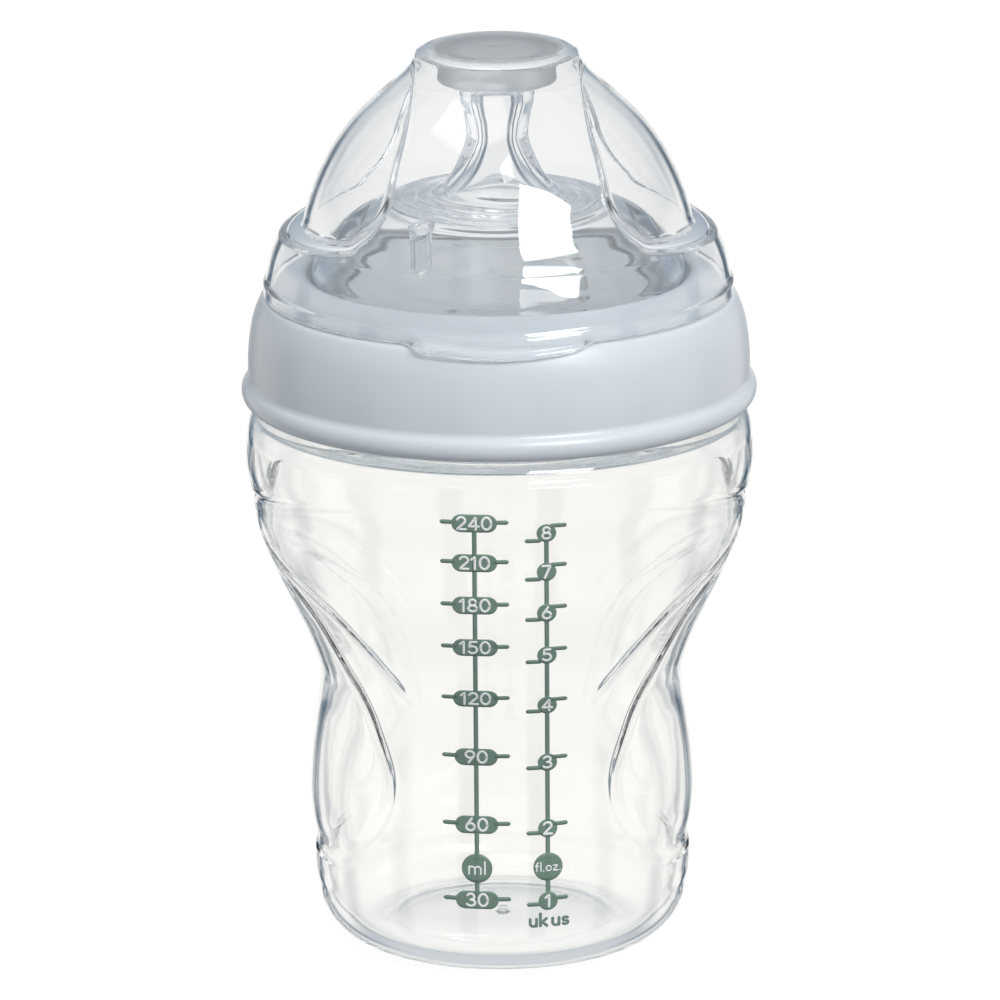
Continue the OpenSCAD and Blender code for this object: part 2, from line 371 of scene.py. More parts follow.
neck_angles = rows[-1][0]
shoulder = path([[36.6 * mm, 89.62 * mm], [35.4 * mm, 89.8 * mm], [34.5 * mm, 90.4 * mm],
                 [neck_r, 91.4 * mm], [neck_r, 93 * mm]], 12)
neck = [[neck_r, z] for z in np.linspace(94 * mm, rim_z - wall / 2, 8)]
rim = arc(neck_r - wall / 2, rim_z - wall / 2, wall / 2, 10, 170, 9)
inner_neck = [[neck_r - wall, z] for z in np.linspace(rim_z - 1.5 * mm, 91 * mm, 6)]
inner_shoulder = path([[neck_r - wall, 90.2 * mm], [33 * mm, 88.8 * mm], [34.6 * mm, 88.0 * mm],
                       [36.6 * mm, 87.6 * mm], [38.0 * mm, 86.8 * mm], [38.8 * mm, 85.3 * mm]], 14)
rows += turned_rows(np.concatenate([shoulder, neck, rim, inner_neck, inner_shoulder]), neck_angles)

inner_heights = np.concatenate([np.linspace(84, 76, 9), np.linspace(75, 73.6, 6),
                                np.linspace(72.6, 16, 64), np.linspace(15, 10.5, 5)]) * mm


def cavity_radius(turn, z):
    """Radius of the hollow: the outer form with most of its detail, one wall in."""
    return bottle_radius(turn, z, sharp=0.85) - wall


rows += [wavy_row(z, cavity_radius) for z in inner_heights]
inside = np.concatenate([
    arc(foot_r, foot_round, foot_round - wall, -4, -84, 14),
    path(np.array([[20.4, 1.98], [18.6, 2.22], [17.6, 2.5], [16.8, 2.58], [13, 3.0], [8, 3.3],
                   [1.6, 3.36], [0.8, 3.22]]) * mm, 26)])
rows += turned_rows(inside, base_angles)

bottle = grid_mesh("bottle_shell", ring_rows(rows), start=(0, 0, sole_z), end=(0, 0, floor_z))
# The second colour is painted shade for the bottle's edges seen edge on
bottle_plastic = clear_plastic("clear_bottle_plastic", (0.985, 0.985, 0.975), (0.5, 0.54, 0.575),
                               1.49, 0.02, 0.02 * mm, 4.0)
finish_piece(bottle, bottle_plastic, "bottle", crease=50)
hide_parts("bottle")

# ---------------------------------------------------------------- neck thread
# Two ridges wind once round the neck, each broken into six lugs. They climb
# 8 mm in a turn and are part of the bottle's moulding.
lead = 8 * mm
starts, lugs = 2, 6
ridge_turns = 0.8
lug_turns = ridge_turns / lugs - 6 / 360
neck_ridge_z = 96.5 * mm
ridge_bite = 0.3 * mm


def thread_lugs(name, root, crest, z_ref, first_turn):
    """All the lugs of a thread: a trapezium of root and crest carried along a helix.

    Its height at turn t is z_ref + lead * t, and the crest dies away at both ends of a lug."""
    along = np.linspace(0, 1, 22)
    fade = ease(np.minimum(along, 1 - along) / 0.1)
    verts, faces = [], []
    side = np.array([[0, 0.8], [1, 0.4], [1, -0.4], [0, -0.8]]) * [1, mm]
    for k in range(starts):
        for j in range(lugs):
            t = first_turn + ridge_turns * (j + 0.5) / lugs + lug_turns * (along - 0.5)
            a = 2 * np.pi * (t + k / starts)
            r = root + (crest - root) * side[None, :, 0] * (0.25 + 0.75 * fade[:, None])
            z = (z_ref + lead * t)[:, None] + side[None, :, 1] * (0.4 + 0.6 * fade[:, None])
            first = len(verts) * 4 * len(along)
            ridge = np.stack([r * np.cos(a)[:, None], r * np.sin(a)[:, None], z], -1)
            verts.append(ridge.reshape(-1, 3))
            i = np.arange(len(along) - 1)[:, None] * 4
            q = np.arange(4)[None, :]
            quads = np.stack([i + q, i + (q + 1) % 4, i + 4 + (q + 1) % 4, i + 4 + q], -1)
            quads = quads.reshape(-1, 4)
            last = 4 * (len(along) - 1)
            quads = np.vstack([quads, [[3, 2, 1, 0]], [[last, last + 1, last + 2, last + 3]]])
            faces.append((quads if crest > root else quads[:, ::-1]) + first)
    return add_piece(name, np.vstack(verts), np.vstack(faces).tolist())


neck_thread = thread_lugs("neck_thread", neck_r - ridge_bite, neck_r + 1.7 * mm, neck_ridge_z, 0)
finish_piece(neck_thread, bottle_plastic, "bottle")

# ---------------------------------------------------------------- volume scale
# Green ink printed on the front of the bottle: a column in millilitres and
# one in fluid ounces, each mark at the height where the bottle holds it.
ink_lift = 0.05 * mm
ink_film = 0.03 * mm


def front_points(x, z, lift):
    """Points a lift above the bottle's front, at a distance x across and height z.

    The angle is the one whose cosine is x over the radius there, found in six rounds."""
    turn = np.full(np.shape(x), 80.0)
    for _ in range(6):
        r = bottle_radius(turn, z)
        turn = np.degrees(np.arccos(np.clip(np.abs(x) / r, 0, 1)))
    r = bottle_radius(turn, z) + lift
    turn = np.radians(turn)
    return np.stack([np.sign(x) * r * np.cos(turn), -r * np.sin(turn), z + 0 * x], -1)


# Heights of the eight millilitre marks above the table, 30 ml apart
mark_heights = np.array([14.35, 27.0, 38.8, 49.4, 58.7, 66.1, 73.3, 80.1]) * mm
mark_volumes = np.arange(30, 241, 30)


def mark_z(millilitres):
    """The height that a volume fills the bottle to: straight lines between the marks and below them."""
    first_step = mark_heights[1] - mark_heights[0]
    return np.interp(millilitres, mark_volumes, mark_heights,
                     left=mark_heights[0] + (millilitres - 30) / 30 * first_step)


def sheet_grid(x, z, lift=ink_lift):
    """Points and faces of a sheet of ink that lies on the front, from grids of x and z."""
    rows, cols = x.shape
    points = front_points(x, z, lift).reshape(-1, 3)
    i, j = np.meshgrid(np.arange(rows - 1), np.arange(cols - 1), indexing="ij")
    a = i * cols + j
    return points, np.stack([a, a + 1, a + cols + 1, a + cols], -1).reshape(-1, 4)


def pill(cx, cz, half_w, half_h, cols=29, rows=9):
    """A lozenge with round ends: its half height falls as a circle near each end."""
    u, v = np.meshgrid(np.linspace(-1, 1, cols), np.linspace(-1, 1, rows))
    u = np.sin(u * np.pi / 2)
    past = np.clip((np.abs(u) * half_w - (half_w - half_h)) / half_h, 0, 1)
    return sheet_grid(cx + u * half_w, cz + v * half_h * np.maximum(np.sqrt(1 - past**2), 0.02))


def stroke(x0, z0, x1, z1, width, steps=12):
    """A straight bar with round ends: along the line by t, and across it by a half circle at each end."""
    t, v = np.meshgrid(np.linspace(-1, 1, steps), np.linspace(-1, 1, 3))
    length, half = math.hypot(x1 - x0, z1 - z0), width / 2
    way = np.array([x1 - x0, z1 - z0]) / length
    along = t * (length / 2 + half)
    past = np.clip((np.abs(along) - length / 2) / half, 0, 1)
    narrow = np.maximum(np.sqrt(1 - past**2), 0.05) * half * v
    return sheet_grid((x0 + x1) / 2 + way[0] * along - way[1] * narrow,
                      (z0 + z1) / 2 + way[1] * along + way[0] * narrow)


def film(name, sheets):
    """One mesh from several sheets of ink, given a film's thickness by Solidify."""
    verts, faces, start = [], [], 0
    for points, quads in sheets:
        verts.append(points)
        faces += (quads + start).tolist()
        start += len(points)
    piece = add_piece(name, np.vstack(verts), faces)
    layer = piece.modifiers.new("film", "SOLIDIFY")
    layer.thickness = ink_film
    layer.offset = 0
    return piece


def bow(cx, cy, rx, ry, start, stop):
    """Points of an elliptical pen stroke between two angles in degrees."""
    a = np.radians(np.linspace(start, stop, 2 + int(abs(stop - start) / 12)))
    return np.stack([cx + rx * np.cos(a), cy + ry * np.sin(a)], -1)


def bar(*points):
    """Points of a straight or bent pen stroke."""
    return np.array(points, float)


# Pen strokes of each character in a box one unit high, and the box's width
letters = {
    "0": (0.66, [bow(0.33, 0.5, 0.25, 0.42, 0, 360)]),
    "1": (0.40, [bar((0.06, 0.74), (0.25, 0.92), (0.25, 0.08))]),
    "2": (0.60, [np.vstack([bow(0.29, 0.69, 0.22, 0.23, 160, -35),
                            bar((0.07, 0.08), (0.53, 0.08))])]),
    "3": (0.60, [bow(0.28, 0.71, 0.2, 0.21, 150, -90), bow(0.28, 0.29, 0.24, 0.21, 90, -150)]),
    "4": (0.66, [bar((0.44, 0.08), (0.44, 0.92), (0.06, 0.3), (0.6, 0.3))]),
    "5": (0.62, [np.vstack([bar((0.5, 0.92), (0.17, 0.92), (0.12, 0.55)),
                            bow(0.29, 0.34, 0.24, 0.26, 125, -145)])]),
    "6": (0.62, [bow(0.31, 0.33, 0.23, 0.25, 0, 360), bar((0.11, 0.46), (0.38, 0.92))]),
    "7": (0.58, [bar((0.06, 0.92), (0.5, 0.92), (0.2, 0.08))]),
    "8": (0.62, [bow(0.31, 0.71, 0.18, 0.21, 0, 360), bow(0.31, 0.29, 0.23, 0.21, 0, 360)]),
    "9": (0.62, [bow(0.31, 0.67, 0.23, 0.25, 0, 360), bar((0.51, 0.54), (0.24, 0.08))]),
    "m": (0.86, [bar((0.08, 0.08), (0.08, 0.62)),
                 np.vstack([bow(0.25, 0.42, 0.17, 0.19, 180, 0), [[0.42, 0.08]]]),
                 np.vstack([bow(0.59, 0.42, 0.17, 0.19, 180, 0), [[0.76, 0.08]]])]),
    "l": (0.2, [bar((0.1, 0.08), (0.1, 0.98))]),
    "f": (0.36, [np.vstack([bow(0.3, 0.78, 0.14, 0.17, 90, 180), [[0.16, 0.08]]]),
                 bar((0.04, 0.6), (0.3, 0.6))]),
    "o": (0.56, [bow(0.28, 0.34, 0.21, 0.26, 0, 360)]),
    "z": (0.48, [bar((0.07, 0.6), (0.41, 0.6), (0.07, 0.08), (0.43, 0.08))]),
    ".": (0.2, [bar((0.08, 0.08), (0.11, 0.08))]),
    "u": (0.54, [np.vstack([[[0.08, 0.6]], bow(0.26, 0.28, 0.18, 0.2, 180, 360), [[0.44, 0.6]]]),
                 bar((0.44, 0.3), (0.44, 0.08))]),
    "k": (0.5, [bar((0.08, 0.08), (0.08, 0.98)), bar((0.42, 0.6), (0.1, 0.3)),
                bar((0.19, 0.37), (0.45, 0.08))]),
    "s": (0.46, [np.vstack([bow(0.23, 0.47, 0.14, 0.13, 35, 250),
                            bow(0.22, 0.21, 0.15, 0.13, 80, -145)])])}


def pen(points, width, lift):
    """A ribbon of ink of constant width along a stroke, with round ends and corners."""
    reach = np.concatenate([[0], np.cumsum(np.hypot(*np.diff(points, axis=0).T))])
    at = np.linspace(0, reach[-1], 6 + int(reach[-1] / (0.07 * mm)))
    points = np.stack([np.interp(at, reach, points[:, 0]), np.interp(at, reach, points[:, 1])], -1)
    step = np.gradient(points, axis=0)
    along = step / np.maximum(np.hypot(step[:, 0], step[:, 1]), 1e-9)[:, None]
    cap_t = np.array([1.0, 0.92, 0.7, 0.38, 0.0])
    head = points[0] - along[0] * width / 2 * cap_t[:, None]
    tail = points[-1] + along[-1] * width / 2 * cap_t[::-1, None]
    line = np.vstack([head, points[1:-1], tail])
    way = np.vstack([np.repeat(along[:1], 5, 0), along[1:-1], np.repeat(along[-1:], 5, 0)])
    dome = np.sqrt(1 - cap_t**2)
    half = np.concatenate([dome, np.ones(len(points) - 2), dome[::-1]])
    half = np.maximum(half, 0.05) * width / 2
    across = np.stack([-way[:, 1], way[:, 0]], -1) * half[:, None]
    spread = np.array([-1, 0, 1])[:, None, None]
    x, z = np.moveaxis(line[None] + spread * across[None], -1, 0)
    return sheet_grid(x, z, lift)


def written(text, cx, cz, height, width, lift):
    """The sheets of a word written with a round pen, centred on a point of the front."""
    wide = height * 1.2
    total = sum(letters[c][0] for c in text) + 0.04 * (len(text) - 1)
    x, sheets = cx - total * wide / 2, []
    for c in text:
        for k, line in enumerate(letters[c][1]):
            spot = line * [wide, height] + [x, cz - height / 2]
            sheets.append(pen(spot, width, lift + k * 0.004 * mm))
        x += (letters[c][0] + 0.04) * wide
    return sheets


numeral_pen = 0.4 * mm
ml_x, oz_x = -4.1 * mm, 7.25 * mm
stem_w, tick_w, tick_half = 0.74 * mm, 0.72 * mm, 5.1 * mm
uk_ounce, us_ounce = 28.413, 29.574

over = ink_lift + ink_film
sheets, numerals = [], []
for step in mark_volumes:
    z = mark_z(step)
    tick_z = z + 0.2 * mm
    half_w = 3.6 * mm if step > 99 else 3.45 * mm
    sheets.append(pill(ml_x, z, half_w, 1.5 * mm))
    for way in (-1, 1):
        sheets.append(stroke(ml_x + way * half_w * 0.9, tick_z, ml_x + way * tick_half, tick_z, tick_w))
    numerals += written(str(step), ml_x, z, 2.4 * mm, numeral_pen, over)
sheets.append(stroke(ml_x, mark_z(30), ml_x, mark_z(240), stem_w, steps=120))
unit_z = (mark_z(30) + 2 * mark_z(60)) / 3 - 3.1 * mm
sheets.append(pill(ml_x, unit_z, 2.45 * mm, 2.45 * mm))
numerals += written("ml", ml_x, unit_z, 2.3 * mm, 0.3 * mm, over)
for ounce in range(1, 9):
    uk, us = mark_z(ounce * uk_ounce), mark_z(ounce * us_ounce)
    z = (uk + us) / 2
    sheets.append(pill(oz_x, z, 1.55 * mm, 1.55 * mm))
    sheets.append(stroke(oz_x - 3.1 * mm, uk - 0.2 * mm, oz_x - 1.1 * mm, uk - 0.2 * mm, tick_w))
    sheets.append(stroke(oz_x + 0.9 * mm, us + 0.2 * mm, oz_x + 2.9 * mm, us + 0.2 * mm, tick_w))
    numerals += written(str(ounce), oz_x, z, 2.3 * mm, numeral_pen, over)
sheets.append(stroke(oz_x, mark_z(uk_ounce), oz_x, mark_z(8 * us_ounce), stem_w, steps=120))
sheets.append(pill(oz_x, unit_z, 2.35 * mm, 2.35 * mm))
numerals += written("fl.oz.", oz_x, unit_z, 1.6 * mm, 0.22 * mm, over)


def cloudy(node, link, scale, detail):
    """A noise over the piece's own space, for slow or fine changes of tone."""
    cloud = node("ShaderNodeTexNoise")
    cloud.inputs["Scale"].default_value = scale
    cloud.inputs["Detail"].default_value = detail
    link(node("ShaderNodeTexCoord").outputs["Object"], cloud.inputs["Vector"])
    return cloud.outputs["Fac"]


def ink(name, dark, light, roughness=0.45):
    """Printed ink: two tones mixed by a fine noise, with the slight unevenness of a screen print."""
    material, shader, node, link = start_material(name)
    grain = cloudy(node, link, 700, 3)
    two_tones(node, link, grain, dark, light, shader.inputs["Base Color"])
    relief(node, link, grain, 0.4, 0.01 * mm, shader)
    shader.inputs["Roughness"].default_value = roughness
    return material


green_ink = ink("sage_ink", (0.13, 0.21, 0.165), (0.19, 0.28, 0.22))
white_ink = ink("white_ink", (0.86, 0.87, 0.85), (0.93, 0.93, 0.92))
legend_z = mark_z(uk_ounce) - 3.0 * mm
legend = (written("uk", oz_x - 1.6 * mm, legend_z, 2.35 * mm, 0.48 * mm, ink_lift)
          + written("us", oz_x + 1.95 * mm, legend_z, 2.35 * mm, 0.48 * mm, ink_lift))
finish_piece(film("scale_marks", sheets), green_ink, "bottle")
finish_piece(film("scale_numerals", numerals), white_ink, "bottle")
finish_piece(film("scale_legend", legend), green_ink, "bottle")

# ---------------------------------------------------------------- teat
# Soft clear silicone, moulded in one piece: a flat flange that the collar
# clamps on the rim, a broad dome with ripples round its top, and a nipple
# with a thick wall and a small feeding hole.
teat_low, teat_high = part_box("teat")
flange_r = teat_high.x
flange_z = teat_low.z
flange_top = 109.15 * mm
tip_z = teat_high.z
tip_wall = 1.8 * mm
hole_r = 0.3 * mm

dome = path(np.array([[30.3, 109.15], [30.1, 111], [29.3, 113.4], [27.2, 116.6], [24, 119.6],
                      [20, 121.9], [17.4, 122.9], [13.5, 123.4], [10.6, 124.1], [8.2, 125.8],
                      [6.4, 128.9], [5.0, 132.8], [5.3, 136.4], [6.05, 139.7], [5.4, 141.9],
                      [3.2, 142.9], [0.9, 143.2]]) * mm, 190)
hollow = path(np.array([[28.4, 107.05], [28.1, 109.4], [27.2, 111.4], [26, 113.4], [24.6, 115.4],
                        [22.9, 117.5], [20.8, 119.5], [18.2, 120.9], [15.5, 121.5], [11, 121.9],
                        [7.6, 123.2], [4.5, 126.6], [2.6, 131], [2.35, 134], [2.9, 137.4],
                        [3.1, 139.2], [2.2, 140.8], [0.7, 141.4]]) * mm, 120)
turns = np.linspace(0, 2 * np.pi, 240, endpoint=False)


def ripple(r, phase, depth):
    """Rings round the dome's top: a cosine of the radius that fades in and out, and wanders twice round."""
    band = ease((r - 8.2 * mm) / (2.5 * mm)) * ease((20 * mm - r) / (3 * mm))
    return depth * band * np.cos(2 * np.pi * (r / (2.4 * mm) + 0.25 * np.sin(2 * turns + phase)))


soft_edge = 0.3 * mm
flange = [[flange_r - soft_edge, flange_top], [flange_r, flange_top - soft_edge],
          [flange_r, flange_z + soft_edge], [flange_r - soft_edge, flange_z]]
teat_rows = turned_rows([[hole_r, tip_z - tip_wall], [hole_r, tip_z]], turns)
teat_rows += [(turns, r, z + ripple(r, 0.4, 0.2 * mm)) for r, z in dome[::-1]]
teat_rows += turned_rows(flange, turns)
teat_rows += [(turns, r, z + ripple(r, 1.5, 0.14 * mm)) for r, z in hollow]
teat = grid_mesh("teat_body", ring_rows(teat_rows)[::-1], closed=True)
# The second colour is painted shade for the teat's edges seen edge on
silicone = clear_plastic("clear_silicone", (0.97, 0.975, 0.98), (0.68, 0.75, 0.82),
                         1.41, 0.05, 0.05 * mm, 3.0)
finish_piece(teat, silicone, "teat", crease=60)
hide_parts("teat")

# Air vent: a short closed tube of the same silicone that hangs in the dome
# and lets air in as the bottle empties.
vent_x, vent_y = -12 * mm, -14.5 * mm
vent_low, vent_top = 112.8 * mm, 121.4 * mm
vent_r, vent_bore = 1.6 * mm, 1.0 * mm
vent_outside = np.concatenate([
    arc(0, vent_low + vent_r, vent_r, -85, 0, 9),
    [[vent_r * 1.02, vent_low + 5 * mm], [vent_r * 1.15, vent_top - 1 * mm], [vent_r * 1.4, vent_top]]])
vent_inside = np.concatenate([[[vent_bore * 1.4, vent_top], [vent_bore, vent_top - 1.5 * mm]],
                              arc(0, vent_low + vent_r, vent_bore, 0, -85, 8)])
vent_turns = np.linspace(0, 2 * np.pi, 40, endpoint=False)
vent_points = ring_rows(turned_rows(np.concatenate([vent_outside, vent_inside]), vent_turns))
vent = grid_mesh("teat_vent", vent_points + [vent_x, vent_y, 0], start=(vent_x, vent_y, vent_low),
                 end=(vent_x, vent_y, vent_low + vent_r - vent_bore))
finish_piece(vent, silicone, "teat")

# ---------------------------------------------------------------- screw collar
# An opaque moulded ring: a bead round its lower edge, a plain band, a seat
# for the cap, a rounded lip round the opening, and a thread inside.
collar_low, collar_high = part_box("collar")
collar_z = collar_low.z
bead_r = collar_high.x
lip_z = collar_high.z
bead_round = 2.2 * mm
bore_r = 36.3 * mm
opening_r = 30.6 * mm
band = np.concatenate([
    arc(bead_r - bead_round, collar_z + bead_round, bead_round, -90, 52, 22),
    path(np.array([[40.45, 94.3], [40.5, 95.6], [40.45, 98], [40.15, 101], [39.6, 103.8], [38.8, 106],
                   [38.2, 107.1], [37.6, 107.5]]) * mm, 34),
    path(np.array([[36.9, 107.55], [36.35, 107.8], [36.25, 108.6], [35.9, 109.5], [34.6, 110.4],
                   [33, 111.1], [31.9, lip_z / mm], [30.9, 111.05], [30.65, 110.2]]) * mm, 40),
    np.array([[opening_r / mm, 109.2], [35.2, 109.2], [35.25, 106.6], [36.2, 105.6], [bore_r / mm, 105],
              [bore_r / mm, 91], [36.9, 89.9], [37.3, 89.7]]) * mm])
collar = grid_mesh("collar_ring", ring_rows(turned_rows(band, turns)), closed=True)


def paint(piece, name, rule):
    """Store a value from 0 to 1 at every point of a mesh, from its radius and height."""
    place = np.empty(len(piece.data.vertices) * 3)
    piece.data.vertices.foreach_get("co", place)
    x, y, z = place.reshape(-1, 3).T
    piece.data.attributes.new(name, "FLOAT", "POINT").data.foreach_set("value", rule(np.hypot(x, y), z))


def lit_inside(r, z):
    """1 on the bore below the lip, where a faint glow is painted on, painted light for light that soaks
    through the wall.
    """
    return ease((37.2 * mm - r) / (0.3 * mm)) * ease((107.2 * mm - z) / (0.4 * mm))


def collar_plastic():
    """Opaque pale blue-grey polypropylene: soft gloss, light under the skin, fine moulding grain.

    Where the mesh's own attribute inside is 1 it has a faint painted glow, painted light standing in for
    light that soaks through the wall."""
    material, shader, node, link = start_material("collar_plastic")
    shader.inputs["Subsurface Weight"].default_value = 0.15
    shader.inputs["Subsurface Radius"].default_value = (0.8, 0.9, 1.0)
    shader.inputs["Subsurface Scale"].default_value = 1.5 * mm
    two_tones(node, link, cloudy(node, link, 45, 2), (0.61, 0.65, 0.685), (0.65, 0.685, 0.715),
              shader.inputs["Base Color"])
    # Painted light: an emitted tone on the bore, where the attribute inside is 1
    inside = node("ShaderNodeAttribute")
    inside.attribute_name = "inside"
    two_tones(node, link, inside.outputs["Fac"], (0, 0, 0), (0.52, 0.56, 0.6),
              shader.inputs["Emission Color"])
    shader.inputs["Emission Strength"].default_value = 0.6
    skin = node("ShaderNodeGroup")
    skin.node_tree = moulded_skin()
    for label, value in (("Wave Scale", 90), ("Fine Scale", 2600), ("Fine Share", 0.5),
                         ("Roughness", 0.3), ("Spread", 0.12)):
        skin.inputs[label].default_value = value
    link(skin.outputs["Roughness"], shader.inputs["Roughness"])
    relief(node, link, skin.outputs["Height"], 0.5, 0.02 * mm, shader)
    return material


blue_grey = collar_plastic()
# Mark the collar's bore for its painted glow
paint(collar, "inside", lit_inside)
finish_piece(collar, blue_grey, "collar", crease=45)
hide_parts("collar")
# The collar's ridges lie midway between the neck's, and start just above its lower edge
collar_ridge_z = neck_ridge_z - lead / starts / 2
first_turn = (collar_z + 3.3 * mm - collar_ridge_z) / lead
collar_thread = thread_lugs("collar_thread", bore_r + ridge_bite, neck_r + 0.4 * mm, collar_ridge_z,
                            first_turn)
# The thread inside gets the same painted glow
paint(collar_thread, "inside", lit_inside)
finish_piece(collar_thread, blue_grey, "collar")

# ---------------------------------------------------------------- hygiene cap
# Thin clear polypropylene: a dome whose two sides are recessed, which leaves
# a band over the top and a skirt below; a thumb tab stands out at the front,
# and a ring inside closes over the nipple.
top_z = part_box("cap")[1].z
rim_low, skirt_top = 107.8 * mm, 110.4 * mm
skirt_r = 37.4 * mm
cap_wall = 1.2 * mm
ledge_z = 117.6 * mm
edge_w = 1.3 * mm
tab_half, tab_drop = 14.8 * mm, 1.6 * mm
apron = path(np.array([[10.6, top_z / mm], [11.7, 147.75], [12.9, 147.1], [14.0, 146.1],
                       [15.0, 144.9], [16.2, 143.8], [17.8, 142.7], [21.4, 139.5], [24.6, 136.2],
                       [27.4, 132.4], [29.8, 128.2], [31.6, 124.4], [33.0, 121.4], [34.1, 119.6],
                       [34.7, 118.5], [35.1, 117.8], [35.9, 116], [36.6, 114.2], [37.1, 112.2],
                       [37.4, 110.6]]) * mm, 150)
# Radius of the recessed sides by height
core_stations = np.array([[107, 36.6], [112.6, 36.0], [116.5, 33.6], [119, 31.6], [121, 31.0],
                          [124, 30.1], [128, 28.4], [132, 26.2], [136, 23.2], [139, 20.2],
                          [141, 18.0], [142.6, 16.1], [144, 14.7], [147, 12.6], [150, 10]]) * mm
# Half width of the band by height: it sweeps out to the sides at its foot
band_edge = np.array([[117.6, 36.8], [118.1, 34], [118.7, 30.6], [119.6, 26], [121.6, 22.2], [124, 19.7],
                      [126, 18.3], [128, 17.4], [130.3, 16.9], [133.4, 16.1], [136.4, 15.2],
                      [139.5, 14.5], [142.6, 14.0], [146, 13.5], [150, 13]]) * mm


def border_turn(z, r):
    """Angle from the side of a recess's edge: its cosine is the half width over the radius."""
    share = np.clip(through(band_edge, np.array(z)) / r, 0, 1)
    return np.clip(np.degrees(np.arccos(share)), 9, 78)


def cap_quarter(z, r):
    """Angles from side to front for one row of the cap, set close together across a recess's edge."""
    edge_turn, near = border_turn(z, r), np.degrees(edge_w / r)
    return np.concatenate([np.linspace(0, edge_turn - near, 40, endpoint=False),
                           np.linspace(edge_turn - near, edge_turn + near, 18, endpoint=False),
                           np.linspace(edge_turn + near, 90, 38)])


def window(turn, r, z, margin):
    """1 in a recessed side and 0 on the band and skirt, changing over the width of the edge.

    The distance to the edge is the distance across, less the edge's slant;
    margin draws the edge in."""
    x = r * np.cos(np.radians(turn))
    slant = (through(band_edge, z + 0.3 * mm) - through(band_edge, z - 0.3 * mm)) / (0.6 * mm)
    away = (x - through(band_edge, np.array(z))) / np.sqrt(1 + slant**2)
    return ease((away - margin) / edge_w + 0.5) * ease((z - ledge_z + 0.3 * mm) / (0.6 * mm))


def shell_row(r, z, inset, margin):
    """One ring of the cap: the proud outline with the recessed sides let in, an inset inward."""
    turn = cap_quarter(z, r)
    core = np.minimum(r, through(core_stations, np.array(z)))
    share = window(turn, r, z, margin)
    radius = r + (core - r) * share - inset
    return full_angles(turn), all_round(radius), z


def tab_shape(angle):
    """1 at the middle of the thumb tab, falling as the square of the distance to 0 at its two ends."""
    x = 38 * mm * np.cos(angle)
    return np.where(np.sin(angle) < 0, np.clip(1 - (x / tab_half)**2, 0, 1), 0)


cap_turns = full_angles(cap_quarter(110 * mm, skirt_r))
tab = tab_shape(cap_turns)
lip = ease(tab / 0.35)
cap_rows = [shell_row(r, z, 0, 0) for r, z in apron]
# The skirt's rim turns out a little, and further at the tab, and comes back up inside
for t in np.linspace(0.08, 1, 12):
    flare = (0.45 * ease(t / 0.25) + lip * ease((t - 0.2) / 0.8) * 2.0) * mm
    cap_rows.append((cap_turns, skirt_r + flare, skirt_top - (skirt_top - rim_low + tab_drop * tab) * t))
under_top = skirt_top - 0.2 * mm
for t in np.linspace(1, 0.1, 8):
    flare = lip * 2.35 * mm * ease((t - 0.15) / 0.75)
    cap_rows.append((cap_turns, skirt_r - 0.8 * mm + flare,
                     under_top - (under_top - rim_low + tab_drop * tab) * t))
under_apron = apron[(apron[:, 1] > 110.8 * mm) & (apron[:, 1] < top_z - 1.3 * mm)][::-1][::2]
cap_rows += [shell_row(r, z - 0.25 * mm, cap_wall * 0.85, 0.7 * mm) for r, z in under_apron]
ring_low, ring_r = 142.2 * mm, 9.5 * mm
lid_low = top_z - cap_wall
crown = [[11, -0.4], [10.3, 0.0], [9.75, -0.1], [9.5, -0.6]]
plug = np.concatenate([np.array(crown) * mm + [0, lid_low], [[ring_r, lid_low - 2 * mm]],
                       arc(ring_r - 0.6 * mm, ring_low + 0.6 * mm, 0.6 * mm, 0, -180, 9),
                       [[ring_r - 1.2 * mm, lid_low - 2 * mm], [ring_r - 1.2 * mm, lid_low - 0.6 * mm]],
                       np.array([[7.9, -0.1], [6, 0.02], [3, 0.05]]) * mm + [0, lid_low]])
cap_rows += turned_rows(plug, cap_turns)
# The flat top has a small dimple where the mould was filled
dimple = [[0.5, -0.35], [0.9, -0.05], [1.6, 0.0], [4, -0.02], [7.5, -0.04], [9.8, -0.02]]
lid_top = turned_rows(np.array(dimple) * mm + [0, top_z], cap_turns)
cap = grid_mesh("cap_shell", ring_rows(lid_top + cap_rows)[::-1], start=(0, 0, lid_low + 0.05 * mm),
                end=(0, 0, top_z - 0.4 * mm))


def matt_part(r, z):
    """1 on the lid and the ring below it, whose mould was left matt."""
    return ease((11.2 * mm - r) / (1 * mm)) * ease((z - 141 * mm) / (1 * mm))


paint(cap, "frost", matt_part)
# The second colour is painted shade for the cap's edges seen edge on
cap_plastic = clear_plastic("clear_cap_plastic", (0.955, 0.96, 0.965), (0.56, 0.61, 0.67),
                            1.49, 0.02, 0.015 * mm, 4.0)
finish_piece(cap, cap_plastic, "cap", crease=50)
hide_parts("cap")

# ---------------------------------------------------------------- studio
# A plain white table. What the clear pieces bend and mirror is a ring of
# bright screens with dark gaps between them, which draws dark edges on clear
# plastic; one soft box stands at the upper right of the camera.
target = Vector((0, 0, cad_box[1].z / 2 - 1.4 * mm))
table_r = 2.6
table_turns = np.linspace(0, 2 * np.pi, 96, endpoint=False)
table_edge = ring_rows([(table_turns, table_r, 0)])[0]
table = add_piece("table", table_edge, [list(range(len(table_edge)))])
paper, table_top = start_material("white_table")[:2]
table_top.inputs["Base Color"].default_value = (0.12, 0.12, 0.12, 1)
table_top.inputs["Roughness"].default_value = 0.9
table_top.inputs["Specular IOR Level"].default_value = 0.0
table_top.inputs["Emission Color"].default_value = (1, 1, 1, 1)
table_top.inputs["Emission Strength"].default_value = 0.93
table.data.materials.append(paper)
table.visible_transmission = False
table.visible_glossy = False
table.visible_diffuse = False

room = bpy.data.worlds.new("room")
bpy.context.scene.world = room
room.use_nodes = True
sky = room.node_tree
backdrop = sky.nodes["Background"]


